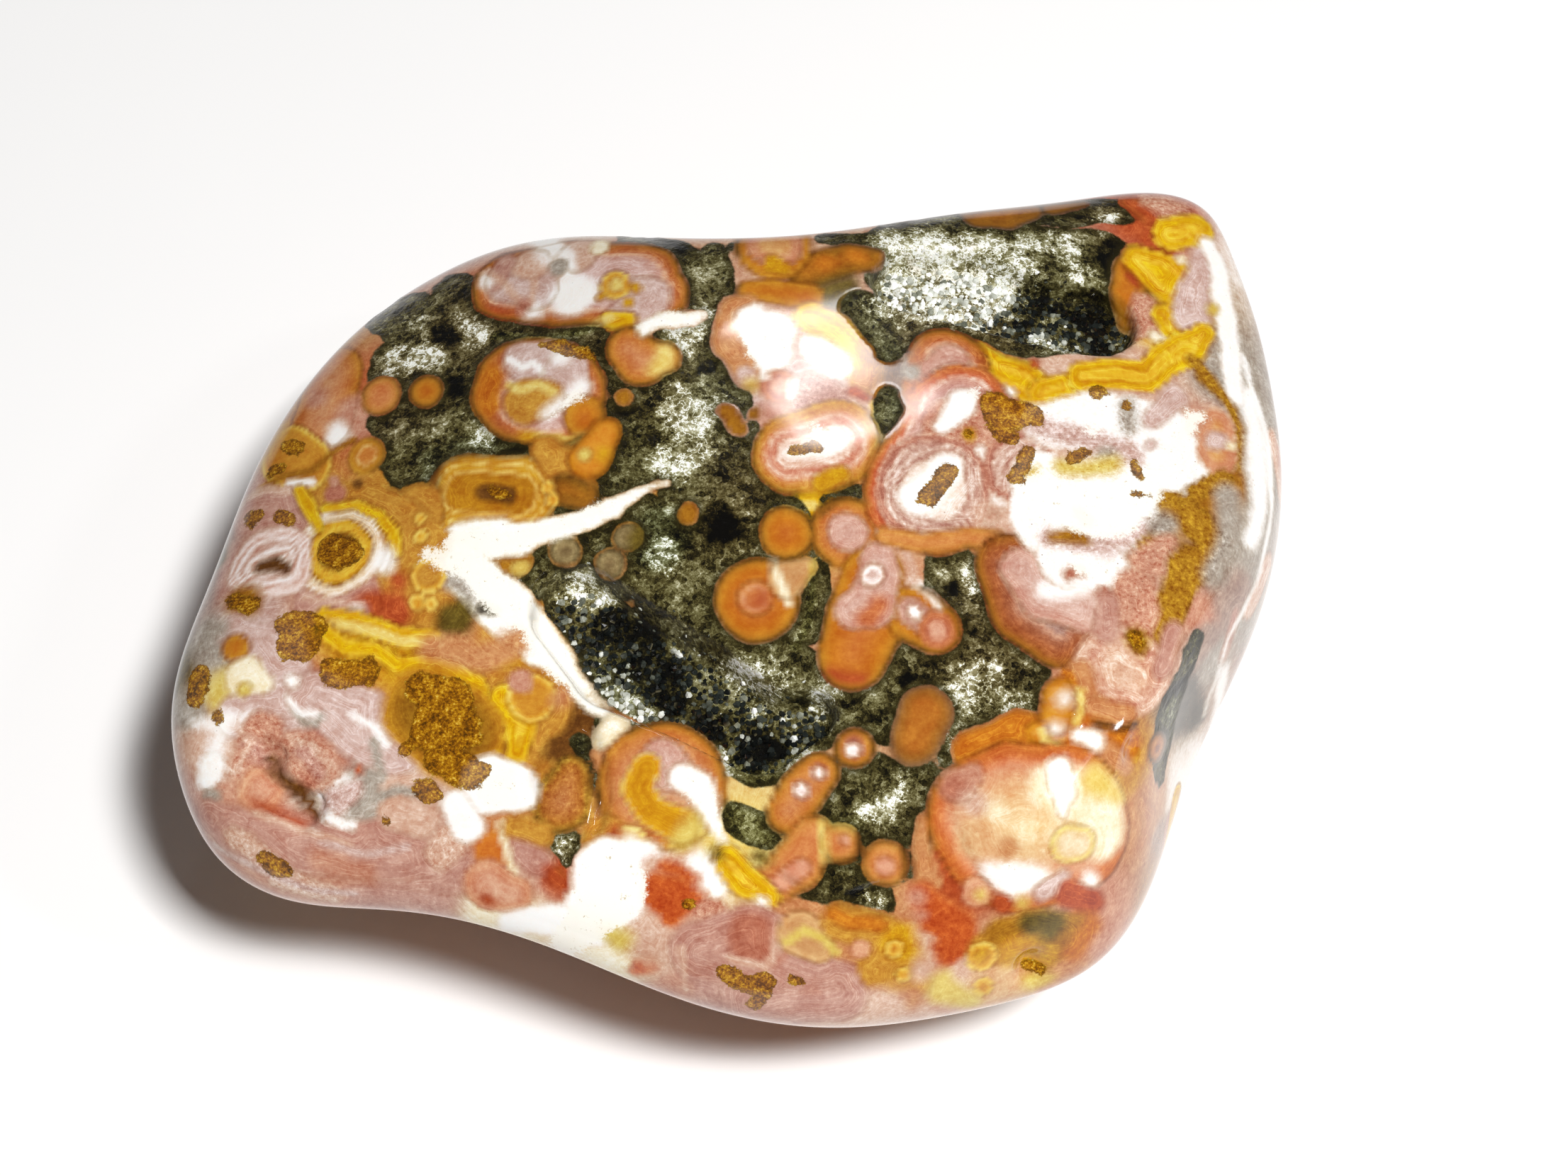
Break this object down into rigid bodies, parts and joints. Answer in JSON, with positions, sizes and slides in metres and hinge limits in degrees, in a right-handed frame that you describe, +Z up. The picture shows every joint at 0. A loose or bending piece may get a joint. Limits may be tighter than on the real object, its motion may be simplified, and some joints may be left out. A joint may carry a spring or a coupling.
{
  "type": "polished ocean jasper",
  "caption": "Tumbled, polished stone with a rounded block shape, orb patterns, two crystal-lined hollows in its top and a small flat spot below that it rests on.",
  "frame": {"origin": "on the flat spot's plane, below the middle of the stone's outline seen from above", "axes": "+Z up, +X towards the steep grey flank, along the stone's length, +Y towards the far edge, away from the picture's camera"},
  "size_m": [0.0618, 0.0528, 0.0248],
  "materials": {
    "polished_jasper": "polished, with orange, pink, yellow and dark green orbs and bands",
    "smoky_quartz": "sparkling crystal crust"
  },
  "bodies": {
    "root": {"stone": "polished_jasper", "druse_centre": "smoky_quartz", "druse_corner": "smoky_quartz"}
  },
  "joints": []
}
